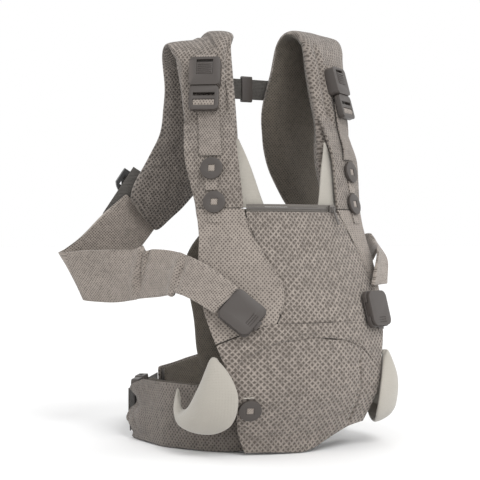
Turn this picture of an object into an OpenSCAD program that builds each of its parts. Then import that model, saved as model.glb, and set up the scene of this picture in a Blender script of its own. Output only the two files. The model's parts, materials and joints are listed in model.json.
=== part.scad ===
// Soft baby carrier: two-layer seat on a padded waist belt, with padded
// shoulder straps, magnetic buckles and a zipped head support.
// Frame: +Z up, the outer panel faces -Y, the wearer stands behind it.
// The origin is the centre of the waist belt's ring.

/* [Waist belt] */
// Half the width of the belt ring, to the outside of the cover
ring_half_w = 142; // [138:1:146]
// Half the depth of the belt ring, to the outside of the cover
ring_half_d = 160; // [156:1:163]
// Height of the belt pad
belt_h = 76; // [72:1:78]
// Thickness of the belt's foam
belt_foam_t = 9; // [6:1:10]
// Width of the waist webbing
waist_web_w = 38; // [30:1:40]

/* [Front panel] */
// Height of the zip above the belt's centre
zip_z = 233; // [231:1:235]
// Radius that the panel's upper part bends to
panel_r = 166; // [162:1:170]
// Half the angle of the zip
zip_half_a = 20; // [18:1:20]
// Thickness of the mesh fabric
mesh_t = 3; // [2:0.5:3]

/* [Shoulder straps] */
// Width of a shoulder pad
pad_w = 90; // [80:1:92]
// Thickness of a shoulder pad
pad_t = 16; // [12:1:17]
// Height of the middle of the pad's thickness over the shoulder
pad_top_z = 440; // [436:1:446]
// How much higher the right pad stands
right_rise = 12; // [0:1:14]
// Width of the narrow webbing at a shoulder buckle
strap_web_w = 25; // [22:1:26]
// Width of the chest strap that joins the pads at the back
chest_web_w = 25; // [20:1:25]

/* [Buckles] */
// Width of a shoulder buckle
shoulder_buckle_w = 36; // [34:1:38]
// Side of the square side buckle
side_buckle_w = 40; // [38:1:42]
// Width of the waist buckle
waist_buckle_w = 48; // [46:1:50]
// Diameter of a snap disc
snap_d = 25; // [22:1:26]
// Running gap between parts that slide
gap = 0.3; // [0.25:0.05:0.35]

/* [Hidden] */
$fn = 40;

taupe = "#9a9087";
shade = "#6f675f";
cream = "#d0c9be";
plastic = "#55504c";
web_grey = "#4a4744";

// ---------- small helpers ----------

function mix(a, b, t) = a + (b - a) * t;
function unit(v) = v / norm(v);
function held(i, n) = max(0, min(n - 1, i));

// Normal of a grid of points at row i and column j
function grid_normal(g, i, j) =
    let (
        n = len(g),
        m = len(g[0]),
        along = g[held(i + 1, n)][j] - g[held(i - 1, n)][j],
        across = g[i][held(j + 1, m)] - g[i][held(j - 1, m)]
    ) unit(cross(along, across));

// Share of the full thickness at column j of m; the crown thins the edges
function fullness(j, m, crown) =
    let (u = 2 * j / (m - 1) - 1) 1 - crown + crown * sqrt(1 - u * u);

// Closed solid of even or crowned thickness around a grid of points
module shell(g, t, crown = 0) {
    n = len(g);
    m = len(g[0]);
    total = n * m;
    half = [for (i = [0:n - 1]) for (j = [0:m - 1])
        grid_normal(g, i, j) * t / 2 * fullness(j, m, crown)];
    flat = [for (row = g) for (p = row) p];
    points = concat(flat + half, flat - half);
    cells = [for (i = [0:n - 2]) for (j = [0:m - 2])
        [i * m + j, i * m + j + 1, (i + 1) * m + j + 1, (i + 1) * m + j]];
    front = [for (c = cells) each [[c[0], c[1], c[2]], [c[0], c[2], c[3]]]];
    back = [for (f = front) [f[0] + total, f[2] + total, f[1] + total]];
    rim = concat(
        [for (j = [m - 1:-1:0]) j],
        [for (i = [1:n - 1]) i * m],
        [for (j = [1:m - 1]) (n - 1) * m + j],
        [for (i = [n - 2:-1:1]) i * m + m - 1]
    );
    edge = [for (k = [0:len(rim) - 1])
        let (a = rim[k], b = rim[(k + 1) % len(rim)])
        each [[a, b, b + total], [a, b + total, a + total]]];
    polyhedron(points = points, faces = concat(front, back, edge), convexity = 6);
}

// Grid of a band with centres, width directions and widths
function band(centres, dirs, widths, columns) =
    [for (i = [0:len(centres) - 1])
        [for (j = [0:columns - 1])
            centres[i] + unit(dirs[i]) * widths[i] * (j / (columns - 1) - 0.5)]];

// Catmull-Rom curve through a list of points, with steps per span
function curve_point(p0, p1, p2, p3, t) =
    0.5 * (2 * p1 + (p2 - p0) * t + (2 * p0 - 5 * p1 + 4 * p2 - p3) * t * t
        + (3 * p1 - p0 - 3 * p2 + p3) * t * t * t);
function smooth_path(p, steps) =
    let (n = len(p))
    concat(
        [for (i = [0:n - 2]) for (k = [0:steps - 1])
            curve_point(p[held(i - 1, n)], p[i], p[i + 1], p[held(i + 2, n)], k / steps)],
        [p[n - 1]]
    );

// Outline of a rectangle with round corners
function round_rect(w, h, r) =
    [for (q = [[1, 1, 0], [-1, 1, 90], [-1, -1, 180], [1, -1, 270]])
        for (k = [0:6])
            [q[0] * (w / 2 - r) + r * cos(q[2] + 15 * k),
             q[1] * (h / 2 - r) + r * sin(q[2] + 15 * k)]];

module plate(w, h, t, r) {
    linear_extrude(height = t) polygon(round_rect(w, h, r));
}

// ---------- the surface that the panel and front straps lie on ----------

front_line = [[-45, -168], [-20, -176], [0, -186], [25, -198], [50, -201], [75, -200],
    [120, -192], [170, -174], [235, -153], [277, -145], [350, -130], [375, -122], [410, -115]];
bend_line = [[-40, 170], [0, 220], [25, 250], [55, 205], [75, 200], [120, 190], [200, panel_r]];
// Angle of the panel's and head strap's outer edge by height
edge_line = [[-40, 22], [-10, 22.5], [25, 20.5], [50, 26.5], [72, 30.5], [106, 35],
    [118, 36.5], [166, 39.5], [235, 39.5], [284, 42.5], [325, 43]];

// Point on the surface at angle a and height z, out from it by off
function skin(a, z, off = 0) =
    let (r = lookup(z, bend_line))
    [(r + off) * sin(a), lookup(z, front_line) + r - (r + off) * cos(a), z];

// How far the surface leans back at a height, in degrees
function lean(z) = atan((lookup(z + 12, front_line) - lookup(z - 12, front_line)) / 24);

// Puts a piece on the surface: x across, y up the strap, z outwards
module on_skin(a, z, off, spin = 0) {
    translate(skin(a, z, off))
        rotate([0, 0, a])
            rotate([90 - lean(z), 0, 0])
                rotate([0, 0, spin])
                    children();
}

// Grid between two angle lines over a height range; off is one offset, or a line by height
function skin_grid(low_a, high_a, z0, z1, off, rows, columns) =
    [for (i = [0:rows - 1])
        let (z = mix(z0, z1, i / (rows - 1)), out = is_list(off) ? lookup(z, off) : off)
        [for (j = [0:columns - 1])
            skin(mix(lookup(z, low_a), lookup(z, high_a), j / (columns - 1)), z, out)]];

// ---------- waist belt ----------

// Lowest and highest edge of the belt by angle; the right wing rides up
belt_low = [[-92, -belt_h / 2], [-40, -belt_h / 2], [0, -belt_h / 2],
    [12, -belt_h / 2 + 18], [22, -belt_h / 2 + 28], [60, -belt_h / 2 + 28], [120, -belt_h / 2 + 20],
    [200, -belt_h / 2]];
belt_high = [[-92, belt_h / 2 - 3], [0, belt_h / 2 - 6], [35, belt_h / 2 + 4],
    [120, belt_h / 2 + 8], [170, belt_h / 2 + 4], [200, belt_h / 2 - 12]];
belt_start = -92;
belt_end = 200;
fabric_t = 2;

function ring_point(a, z, inset) =
    [(ring_half_w - inset) * sin(a), -(ring_half_d - inset) * cos(a), z];
function belt_grid(inset, hem) =
    [for (i = [0:3])
        [for (k = [0:39])
            let (a = mix(belt_start + hem / 3, belt_end - hem / 3, k / 39))
            ring_point(a, mix(lookup(a, belt_low) + hem, lookup(a, belt_high) - hem, i / 3), inset)]];

module belt_cover() {
    color(taupe) shell(belt_grid(fabric_t / 2, 0), fabric_t);
}
module belt_foam() {
    color(shade) shell(belt_grid(fabric_t + gap + belt_foam_t / 2, 3), belt_foam_t);
}
module belt_lining() {
    color(shade) shell(belt_grid(fabric_t * 1.5 + 2 * gap + belt_foam_t, 0), fabric_t);
}

// The webbing closes the ring along the chord between the belt's ends
chord_a = ring_point(belt_end, 0, fabric_t / 2);
chord_b = ring_point(belt_start, 0, fabric_t / 2);
chord_mid = (chord_a + chord_b) / 2;
chord_turn = atan2(chord_b[1] - chord_a[1], chord_b[0] - chord_a[0]);
chord_len = norm(chord_b - chord_a);

// x runs along the chord to the left wing, y up, z out of the ring
module on_chord() {
    translate(chord_mid) rotate([0, 0, chord_turn]) rotate([90, 0, 0]) children();
}

web_t = 1.5;
web_z = 1;
module waist_web_right() {
    color(web_grey)
        on_chord()
            translate([-chord_len / 2 + 3, -waist_web_w / 2, web_z])
                cube([chord_len / 2 - 32, waist_web_w, web_t]);
}
module waist_web_left() {
    color(web_grey)
        on_chord()
            translate([10, -waist_web_w / 2, web_z])
                cube([chord_len / 2 - 13, waist_web_w, web_t]);
}
// The tail's own length below the webbing, and the width of its fold
tail_drop = 16;
tail_w = 12;
module waist_web_tail() {
    color(web_grey)
        on_chord()
            translate([44, -waist_web_w / 2 - tail_drop, web_z + 4.5])
                rotate([0, 0, -8])
                    cube([tail_w, waist_web_w + tail_drop - 2, web_t]);
}
keeper_w = 8;
module waist_tail_keeper() {
    color(web_grey)
        on_chord()
            translate([46, 0, web_z + web_t / 2])
                rotate([0, 90, 0])
                    linear_extrude(height = keeper_w)
                        difference() {
                            polygon(round_rect(6, waist_web_w + 5, 2));
                            polygon(round_rect(3.4, waist_web_w + 1.4, 1));
                        }
}

// Side-release buckle: the socket stays on the right wing's webbing
socket_l = 34;
buckle_t = 11;
module waist_buckle_socket() {
    color(plastic)
        on_chord()
            translate([-socket_l / 2 + 1, 0, 3])
                difference() {
                    plate(socket_l, waist_buckle_w, buckle_t, 5);
                    // mouth for the plug and its two prongs
                    translate([-5, -waist_buckle_w / 2 + 6, 3])
                        cube([socket_l, waist_buckle_w - 12, 5]);
                    // side windows that the prongs snap into
                    for (s = [-1, 1])
                        translate([-3, s * (waist_buckle_w / 2 - 3) - 4, 3])
                            cube([12, 8, 5]);
                }
}
prong_l = 19;
module waist_buckle_plug() {
    color(plastic)
        on_chord()
            translate([1 + gap, 0, 3])
                difference() {
                    union() {
                        translate([14, 0, 0]) plate(27, waist_buckle_w - 2, buckle_t - 2, 4);
                        for (s = [-1, 1])
                            translate([-prong_l, s * (waist_buckle_w / 2 - 9.5) - 3, 3 + gap])
                                cube([prong_l + 2, 6, 5 - 2 * gap]);
                        translate([-prong_l + 4, -3, 3 + gap])
                            cube([prong_l, 6, 5 - 2 * gap]);
                    }
                    // two slots of the ladder lock
                    for (x = [8, 18])
                        translate([x, -waist_web_w / 2 - 0.5, -1])
                            cube([4.5, waist_web_w + 1, buckle_t + 2]);
                }
}

// ---------- outer panel ----------

left_seam = [[104, -13], [130, -9], [151, -9], [190, -17], [215, -20.6], [232, -20.6]];
right_seam = [[104, 33], [150, 33], [192, 28.6], [227, 21], [232, 20.5]];
seam_gap = 0.25;
panel_low = 106;

function shifted(line, d) = [for (p = line) [p[0], p[1] + d]];
function negated(line) = [for (p = line) [p[0], -p[1]]];

module centre_panel() {
    color(taupe)
        shell(skin_grid(shifted(left_seam, seam_gap), shifted(right_seam, -seam_gap),
            panel_low + 0.6, zip_z - 4.4, 0, 12, 11), mesh_t);
}
module left_panel_wing() {
    color(taupe)
        shell(piece_grid(negated(edge_line), shifted(left_seam, -seam_gap),
            shifted(band_top, 0.6), [[-45, zip_z - 1], [0, zip_z - 1]], [80, zip_z], 0, 12, 9), mesh_t);
}
module right_panel_wing() {
    color(taupe)
        shell(skin_grid(shifted(right_seam, seam_gap), edge_line,
            panel_low + 0.6, zip_z - 1, 0, 11, 5), mesh_t);
}

// Arched seam between the band and the seat panel, by angle
arch_line = [[-25.5, 50], [-19, 76], [-12, 86], [0, 90], [12, 86], [19, 76], [25.5, 50]];
// The band runs between the arch and the panel's lower seam
band_top = [[-36, 78], [-26, 92], [-15, panel_low], [36, panel_low]];

function angle_between(low_a, high_a, u, z) = mix(lookup(z, low_a), lookup(z, high_a), u);
function height_between(low_z, high_z, v, a) = mix(lookup(a, low_z), lookup(a, high_z), v);

// Grid between two side lines (angle by height) and two end lines (height by angle);
// each side line is first read over span, then three times at the height it gives
function piece_grid(low_a, high_a, low_z, high_z, span, off, rows, columns) =
    [for (i = [0:rows - 1])
        let (v = i / (rows - 1), z0 = mix(span[0], span[1], v))
        [for (j = [0:columns - 1])
            let (
                u = j / (columns - 1),
                z1 = height_between(low_z, high_z, v, angle_between(low_a, high_a, u, z0)),
                z2 = height_between(low_z, high_z, v, angle_between(low_a, high_a, u, z1)),
                z3 = height_between(low_z, high_z, v, angle_between(low_a, high_a, u, z2))
            )
            skin(angle_between(low_a, high_a, u, z3), z3, off)]];

module seat_band() {
    color(taupe)
        shell(piece_grid(negated(edge_line), edge_line, shifted(arch_line, 1), band_top,
            [50, 100], 0, 5, 19), mesh_t);
}
seat_low = [[-25, -36], [0, -belt_h / 2], [5, -belt_h / 2 + 4], [10, -belt_h / 2 + 14],
    [16, -belt_h / 2 + 26], [25, -belt_h / 2 + 30]];
module seat_panel() {
    color(taupe)
        shell(piece_grid(negated(edge_line), edge_line, seat_low, arch_line,
            [-38, 49], 0, 12, 19), mesh_t);
}
lining_t = 1.6;
lining_edge = [[48, 22], [72, 28], [106, 32], [zip_z, 36]];
// The lining lies on the panel, and backs away from the zip's slider at the top
lining_offset = [[48, -3.1], [208, -3.1], [zip_z, -6]];
module panel_lining() {
    color(shade)
        shell(skin_grid(negated(lining_edge), lining_edge, 48, zip_z - 1, lining_offset, 14, 13),
            lining_t);
}

// Floor of the seat pouch, sagging between the panel and the apron
floor_half_w = 72;
floor_front = -188;
floor_back = -145;
floor_z = 46;
module seat_base() {
    floor_grid = [for (i = [0:6])
        [for (j = [0:8])
            let (x = mix(-floor_half_w, floor_half_w, j / 8), y = mix(floor_front, floor_back, i / 6))
            [x, y + 0.0018 * x * x, floor_z + 0.0012 * x * x]]];
    color(shade) shell(floor_grid, mesh_t);
}

// Inner layer that lies against the wearer
apron_r = 128;
apron_t = 4;
apron_front = [[-34, -136], [40, -136], [120, -128], [203, -132]];
apron_edge = [[-34, 39], [46, 39], [56, 48], [110, 48], [175, 56], [203, 46]];
module apron() {
    apron_grid = [for (i = [0:11])
        let (z = mix(-32, 203, i / 11))
        [for (j = [0:14])
            let (a = lookup(z, apron_edge) * (j / 7 - 1))
            [apron_r * sin(a), lookup(z, apron_front) + apron_r * (1 - cos(a)), z]]];
    color(shade) shell(apron_grid, apron_t);
}

// ---------- leg cuffs and neck wings ----------

// Top rim and outer edge of the right cuff, front to back
cuff_rim = [[107, -168, 72], [108.5, -159, 57], [110, -150, 42], [115, -131, 17], [119, -115, 8],
    [121, -105, 16], [120, -97, 32]];
cuff_edge = [[105, -172, 70], [94, -185, 52], [87, -191, 28], [89, -180, 0], [101, -156, -14],
    [114, -124, -12], [121, -104, 8]];
cuff_belly = 24;
cuff_t = 8;
module leg_cuff() {
    rim = smooth_path(cuff_rim, 3);
    edge = smooth_path(cuff_edge, 3);
    cuff_grid = [for (i = [0:len(rim) - 1])
        [for (k = [0:6])
            let (p = mix(rim[i], edge[i], k / 6), u = i / (len(rim) - 1))
            p + cuff_belly * sin(180 * k / 6) * sin(180 * u) * unit([1, -0.25, 0])]];
    color(cream) shell(cuff_grid, cuff_t, 0.5);
}
module right_leg_cuff() { leg_cuff(); }
module left_leg_cuff() { mirror([1, 0, 0]) leg_cuff(); }

wing_top_z = 312;
wing_inner = [[zip_z, 12], [285, 17], [wing_top_z, 20.4]];
wing_outer = [[zip_z, 26], [285, 25.6], [wing_top_z, 21.2]];
wing_offset = [[zip_z, -6.3], [280, -6.3], [wing_top_z, -8.2]];
wing_t = 2;
module neck_wing() {
    color(cream) shell(skin_grid(wing_inner, wing_outer, zip_z, wing_top_z, wing_offset, 9, 5), wing_t);
}
module right_neck_wing() { neck_wing(); }
module left_neck_wing() { mirror([1, 0, 0]) neck_wing(); }

// ---------- zip ----------

zip_r = panel_r;
zip_centre_y = lookup(zip_z, front_line) + zip_r;
zip_rest_a = 17;

// Arc of a ring cross-section around the panel's own bend axis
module zip_arc(half_a, r_out, r_in, z0, z1) {
    translate([0, zip_centre_y, 0])
        rotate([0, 0, -90 - half_a])
            rotate_extrude(angle = 2 * half_a, $fn = 120)
                translate([r_in, z0])
                    square([r_out - r_in, z1 - z0]);
}
module zip_tape() {
    color(shade) {
        zip_arc(zip_half_a, zip_r + 0.4, zip_r - 0.4, zip_z - 3.8, zip_z - 1.4);
        zip_arc(zip_half_a, zip_r + 0.4, zip_r - 0.4, zip_z + 1.4, zip_z + 4.4);
    }
}
module zip_teeth() {
    color(web_grey) zip_arc(zip_half_a, zip_r + 0.9, zip_r - 0.9, zip_z - 1.2, zip_z + 1.2);
}
module at_zip_rest() {
    translate([0, zip_centre_y, zip_z]) rotate([0, 0, zip_rest_a]) translate([0, -zip_r, 0]) children();
}
slider_w = 7;
module zip_slider() {
    color(web_grey)
        at_zip_rest()
            difference() {
                translate([-slider_w / 2, -3.2, -3.9]) cube([slider_w, 6.4, 7.8]);
                // channel for the teeth, and a slit for each tape
                translate([-slider_w, -1.4, -1.6]) cube([2 * slider_w, 2.8, 3.2]);
                translate([-slider_w, -0.9, -5]) cube([2 * slider_w, 1.8, 10]);
            }
    color(web_grey)
        at_zip_rest()
            for (s = [-1, 1])
                translate([s * 2.3 - 0.5, -6.2, -2]) cube([1, 3.1, 4]);
    // pivot pin of the pull
    color(web_grey)
        at_zip_rest()
            translate([-2.8, -5.2, 0]) rotate([0, 90, 0]) cylinder(h = 5.6, r = 0.7, $fn = 24);
}
// The pull lies against the panel, which bulges out below the zip
pull_lean = -24;
module zip_pull() {
    color(web_grey)
        at_zip_rest()
            translate([0, -5.2, 0])
                rotate([pull_lean, 0, 0])
                    rotate([0, 90, 0])
                        translate([0, 0, -1.4])
                            linear_extrude(height = 2.8)
                                difference() {
                                    union() {
                                        circle(r = 1.4, $fn = 24);
                                        translate([0, -0.8]) square([20, 1.6]);
                                    }
                                    circle(r = 0.78, $fn = 24);
                                }
}

// ---------- front straps ----------

strap_a = 32;
right_strap_a = 36;
strap_top_z = 344;
// The strap lies on the panel's surface, then falls back onto the pad
strap_offset = [[zip_z, 0], [296, 0], [326, -9], [344, -10]];
module head_strap() {
    color(taupe)
        shell(skin_grid([[233, 21], [344, 22]], edge_line, zip_z, strap_top_z, strap_offset, 12, 5),
            mesh_t);
}
module right_head_strap() { head_strap(); }
module left_head_strap() { mirror([1, 0, 0]) head_strap(); }

// Offset of the narrow webbing by height: on the strap, then behind the frame
web_offset = [[292, 2.8], [303, 2.8], [330, -6.4], [362, -6.4]];
// The strap's middle swings from its own angle to the buckle's angle
function strap_turn(z, top_a) = mix(strap_a, top_a, max(0, min(1, (z - 290) / 40)));
module strap_web(top_a) {
    half_a = 180 / PI * strap_web_w / 2 / panel_r;
    heights = [292, 303, 312, 321, 330, 346, 362];
    web_grid = [for (z = heights)
        [for (k = [-1:1]) skin(strap_turn(z, top_a) + k * half_a, z, lookup(z, web_offset))]];
    color(taupe) shell(web_grid, web_t);
}
module right_strap_web() { strap_web(right_strap_a); }
module left_strap_web() { mirror([1, 0, 0]) strap_web(strap_a); }

// ---------- shoulder pads ----------

pad_off = -21;
arch_r = 34;
// Centre line of a right pad: up the front, over the shoulder, down the back
function pad_path(top_a, rise) =
    let (
        top = pad_top_z + rise - arch_r,
        front = skin(top_a, top, pad_off - 2),
        back = [67 + rise, -22, 395]
    )
    concat(
        [for (z = [212, 250, 290, 330, 370]) skin(strap_turn(z, top_a), z, pad_off)],
        [for (k = [0:6])
            let (w = 180 * k / 6, t = (1 - cos(w)) / 2)
            [mix(front[0], back[0], t), mix(front[1], back[1], t), top + arch_r * sin(w)]],
        [[66, -19, 360], [67, -16, 330], [74, -10, 304], [89, -3, 276], [105, 4, 250], [122, 10, 223]]
    );
// Width direction at each of those points
pad_dirs = concat(
    [for (k = [0:4]) [cos(strap_a), sin(strap_a), 0]],
    [for (k = [0:6]) let (t = (1 - cos(30 * k)) / 2) [1, mix(tan(strap_a), 0, t), 0]],
    [[1, 0, 0], [1, 0, 0], [1, 0, 0.25], [0.9, 0, 0.48], [0.8, 0, 0.62], [0.68, 0, 0.74]]
);
// Narrower at the front end behind the panel, down the front by trim, and at the back end
function pad_widths(trim) = concat(
    [pad_w - 34, pad_w - 32, pad_w - 24, pad_w - 12 - 0.6 * trim, pad_w - 4 - trim],
    [for (k = [0:6]) pad_w - trim * (1 + cos(30 * k)) / 2],
    [pad_w, pad_w, pad_w, pad_w - 6, pad_w - 18, pad_w - 32]
);
module shoulder_pad(top_a, rise, trim) {
    color(taupe) shell(band(pad_path(top_a, rise), pad_dirs, pad_widths(trim), 7), pad_t, 0.45);
}
module right_shoulder_pad() { shoulder_pad(right_strap_a, right_rise, 0); }
module left_shoulder_pad() { mirror([1, 0, 0]) shoulder_pad(strap_a, 0, 14); }

// ---------- underarm straps ----------

// Width of the right strap, which is gathered behind the panel
underarm_w = 44;
// The left strap is spread out in a wide loop; points are mirrored below
loop_top = [[141, 19.8, 253], [188, 24, 208], [214, 26, 188], [224, 14, 183], [192, -26, 186],
    [142, -88, 187], [119, -136, 178], [85, -180, 146]];
loop_low = [[95, 19.8, 222], [142, 24, 166], [176, 27, 134], [196, 14, 126], [166, -26, 126],
    [141, -94, 135], [134, -138, 138], [109, -173, 119]];
module left_underarm_strap() {
    upper = smooth_path(loop_top, 3);
    lower = smooth_path(loop_low, 3);
    loop_grid = [for (i = [0:len(upper) - 1])
        [for (k = [0:4]) mix(upper[i], lower[i], k / 4)]];
    color(taupe) mirror([1, 0, 0]) shell(loop_grid, mesh_t);
}
// The right strap is drawn in behind the panel
drawn_in = [[111, -153, 146], [122, -141, 172], [129, -119, 190], [134, -90, 186],
    [139, -50, 178], [139, -14, 182], [134, 20.5, 212]];
drawn_dirs = [[0.8, 0.6, 0], [0.75, 0.66, 0], [0.5, 0.85, 0.1], [0.25, 0.4, 0.9],
    [0.1, 0.2, 1], [0.5, -0.1, 0.85], [0.85, 0, 0.52]];
module right_underarm_strap() {
    color(taupe)
        shell(band(smooth_path(drawn_in, 3), smooth_path(drawn_dirs, 3),
            [for (k = [0:18]) underarm_w], 5), mesh_t);
}

// ---------- chest strap at the back ----------

chest_z = 385;
chest_y = -10;
module chest_web() {
    color(web_grey)
        translate([-62, chest_y, chest_z - chest_web_w / 2])
            cube([124, web_t, chest_web_w]);
}
module chest_glide() {
    color(plastic)
        translate([7, chest_y + web_t / 2, chest_z])
            rotate([90, 0, 90])
                translate([0, 0, -7])
                    linear_extrude(height = 14)
                        difference() {
                            polygon(round_rect(6.4, chest_web_w + 7, 2.2));
                            polygon(round_rect(3, chest_web_w + 2, 1));
                        }
}

// ---------- strap adjusters at the pad ends ----------

adjuster_at = [132, 20, 268];
adjuster_turn = [13, -31, 0];
adjuster_w = 34;
adjuster_t = 6;
adjuster_bar_z = 6;
// x across the strap, y out of the pad's outer face, z up the strap
module at_adjuster() {
    translate(adjuster_at) rotate(adjuster_turn) children();
}
module adjuster() {
    color(plastic)
        at_adjuster() {
            rotate([-90, 0, 0])
                linear_extrude(height = adjuster_t)
                    difference() {
                        intersection() {
                            circle(r = 20, $fn = 48);
                            translate([-adjuster_w / 2, -5]) square([adjuster_w, 25]);
                        }
                        // two slots of the ladder lock
                        translate([-12.5, -1]) square([25, 4]);
                        translate([-12.5, 6.5]) square([25, 4]);
                    }
            // round top bar, which turns in the fold of the webbing
            translate([-adjuster_w / 2, adjuster_t / 2, adjuster_bar_z])
                rotate([0, 90, 0]) cylinder(h = adjuster_w, d = adjuster_t);
        }
}
module right_adjuster() { adjuster(); }
module left_adjuster() { mirror([1, 0, 0]) adjuster(); }
module adjuster_tail() {
    at_adjuster() translate([-10, -0.5 - web_t, -52]) cube([20, web_t, 68]);
}
module adjuster_webs() {
    color(web_grey) {
        adjuster_tail();
        mirror([1, 0, 0]) adjuster_tail();
    }
}

// ---------- magnetic shoulder buckles ----------

shoulder_z = 372;
shoulder_off = -4.5;
tongue_in = 7;
housing_l = 34;
module at_right_shoulder() { on_skin(right_strap_a, shoulder_z, shoulder_off) children(); }
module at_left_shoulder() { on_skin(-strap_a, shoulder_z, shoulder_off) children(); }
module shoulder_housing() {
    color(plastic)
        difference() {
            translate([0, housing_l / 2, -5]) plate(shoulder_buckle_w, housing_l, 13, 5);
            // socket for the tongue
            translate([-12.5, -1, -2]) cube([25, tongue_in + 2, 5]);
            // pocket of the magnet behind the socket's end
            translate([0, tongue_in + 5, 0.5]) rotate([90, 0, 0]) cylinder(h = 5, r = 2.2);
            // recess that the release slides in
            translate([-9.5, 13, 4]) cube([19, 18, 5]);
        }
}
module right_shoulder_housing() { at_right_shoulder() shoulder_housing(); }
module left_shoulder_housing() { at_left_shoulder() shoulder_housing(); }

frame_l = 29;
module shoulder_frame() {
    color(plastic) {
        difference() {
            translate([0, -frame_l / 2 - 0.6, 0]) plate(shoulder_buckle_w - 2, frame_l, 6.5, 5);
            // window over the webbing and the ladder slot above it
            translate([-12.5, -24.5, -1]) cube([25, 7.5, 9]);
            translate([-12.5, -13, -1]) cube([25, 4, 9]);
        }
        translate([-12.5 + gap, -1.5, gap]) cube([25 - 2 * gap, tongue_in + 1, 2.4]);
    }
}
module right_shoulder_frame() { at_right_shoulder() shoulder_frame(); }
module left_shoulder_frame() { at_left_shoulder() shoulder_frame(); }

module shoulder_release() {
    color(plastic) {
        translate([-9.5 + gap, 13 + gap, 4 + gap]) cube([19 - 2 * gap, 14, 4]);
        for (k = [0:4])
            translate([-8, 15 + 2.4 * k, 8]) cube([16, 1.2, 1.2]);
    }
}
module right_shoulder_release() { at_right_shoulder() shoulder_release(); }
module left_shoulder_release() { at_left_shoulder() shoulder_release(); }

// ---------- magnetic side buckles ----------

side_z = 118;
left_side_a = -24;
right_side_a = 28;
left_side_spin = -40;
right_side_spin = -90;
rail_w = 16;
release_travel = 2.5;
module at_left_side() { on_skin(left_side_a, side_z, 3.2, left_side_spin) children(); }
module at_right_side() { on_skin(right_side_a, side_z, 3.2, right_side_spin) children(); }

// x points away from the strap, and the cover slides along y
module side_base() {
    color(plastic)
        difference() {
            plate(side_buckle_w + 2, side_buckle_w, 5, 7);
            // channel for the cover's rail
            translate([-rail_w / 2, -side_buckle_w, 1.6]) cube([rail_w, 1.5 * side_buckle_w, 4]);
            // two magnet pockets in the floor of the channel
            for (y = [-10, 2])
                translate([0, y, 0.6]) cylinder(h = 2, r = 4.2);
            // slot of the release
            translate([9.5, -6, 2]) cube([14, 12, 4]);
        }
}
module side_cover() {
    color(plastic)
        difference() {
            union() {
                translate([0, 0, 5 + gap]) plate(side_buckle_w, side_buckle_w - 2, 3.6, 8);
                translate([-rail_w / 2 + gap, -side_buckle_w / 2 + 1, 1.6 + gap])
                    cube([rail_w - 2 * gap, side_buckle_w - 2, 4]);
            }
            // finger dish with three grip grooves
            for (k = [-1:1])
                translate([13 + 2.6 * k, -7, 5 + gap + 2.8]) cube([1.1, 14, 2]);
        }
}
module side_release() {
    color(plastic)
        translate([9.5 + gap + release_travel, -6 + gap, 2 + gap]) cube([11.5, 12 - 2 * gap, 2.4]);
}
module left_side_base() { at_left_side() side_base(); }
module right_side_base() { at_right_side() side_base(); }
module left_side_cover() { at_left_side() side_cover(); }
module right_side_cover() { at_right_side() side_cover(); }
module left_side_release() { at_left_side() side_release(); }
module right_side_release() { at_right_side() side_release(); }

module side_magnets() {
    for (y = [-10, 2])
        translate([0, y, 0.7]) cylinder(h = 0.8, r = 4);
}
module shoulder_magnet() {
    translate([0, tongue_in + 4.8, 0.5]) rotate([90, 0, 0]) cylinder(h = 3, r = 2);
}
module buckle_magnets() {
    color("silver") {
        at_left_side() side_magnets();
        at_right_side() side_magnets();
        at_left_shoulder() shoulder_magnet();
        at_right_shoulder() shoulder_magnet();
    }
}

// ---------- snaps ----------

// Angle, height and offset of each snap
left_upper_at = [-strap_a, 277, 2];
left_lower_at = [-strap_a, 239, 2];
right_upper_at = [strap_a, 277, 2];
right_lower_at = [strap_a, 239, 2];
belt_snap_at = [-17.4, 15, 2];
cap_t = 3.4;
stud_t = 1.4;
module at_snap(s) { on_skin(s[0], s[1], s[2]) children(); }
module snap_cap() {
    color(plastic)
        translate([0, 0, stud_t - 0.6])
            difference() {
                cylinder(h = cap_t, d = snap_d, $fn = 64);
                // square window over the fabric patch
                translate([-4, -4, 1.6]) cube([8, 8, cap_t]);
                // blind socket over the stud
                translate([0, 0, -1]) cylinder(h = 2, r = 3.3);
            }
}
module snap_studs() {
    color(plastic)
        for (s = [left_upper_at, left_lower_at, right_upper_at, right_lower_at, belt_snap_at])
            at_snap(s) cylinder(h = stud_t, r = 3);
}
module left_upper_snap() { at_snap(left_upper_at) snap_cap(); }
module left_lower_snap() { at_snap(left_lower_at) snap_cap(); }
module right_upper_snap() { at_snap(right_upper_at) snap_cap(); }
module right_lower_snap() { at_snap(right_lower_at) snap_cap(); }
module belt_snap() { at_snap(belt_snap_at) snap_cap(); }

// ---------- one line per node ----------

belt_cover();
belt_foam();
belt_lining();
waist_web_left();
waist_web_right();
waist_web_tail();
waist_tail_keeper();
waist_buckle_socket();
waist_buckle_plug();
centre_panel();
left_panel_wing();
right_panel_wing();
seat_band();
seat_panel();
panel_lining();
seat_base();
apron();
left_leg_cuff();
right_leg_cuff();
left_neck_wing();
right_neck_wing();
zip_tape();
zip_teeth();
zip_slider();
zip_pull();
left_head_strap();
right_head_strap();
left_strap_web();
right_strap_web();
left_shoulder_pad();
right_shoulder_pad();
left_underarm_strap();
right_underarm_strap();
chest_web();
chest_glide();
adjuster_webs();
left_adjuster();
right_adjuster();
left_shoulder_housing();
right_shoulder_housing();
left_shoulder_frame();
right_shoulder_frame();
left_shoulder_release();
right_shoulder_release();
left_side_base();
right_side_base();
left_side_cover();
right_side_cover();
left_side_release();
right_side_release();
buckle_magnets();
snap_studs();
left_upper_snap();
left_lower_snap();
right_upper_snap();
right_lower_snap();
belt_snap();
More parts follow.
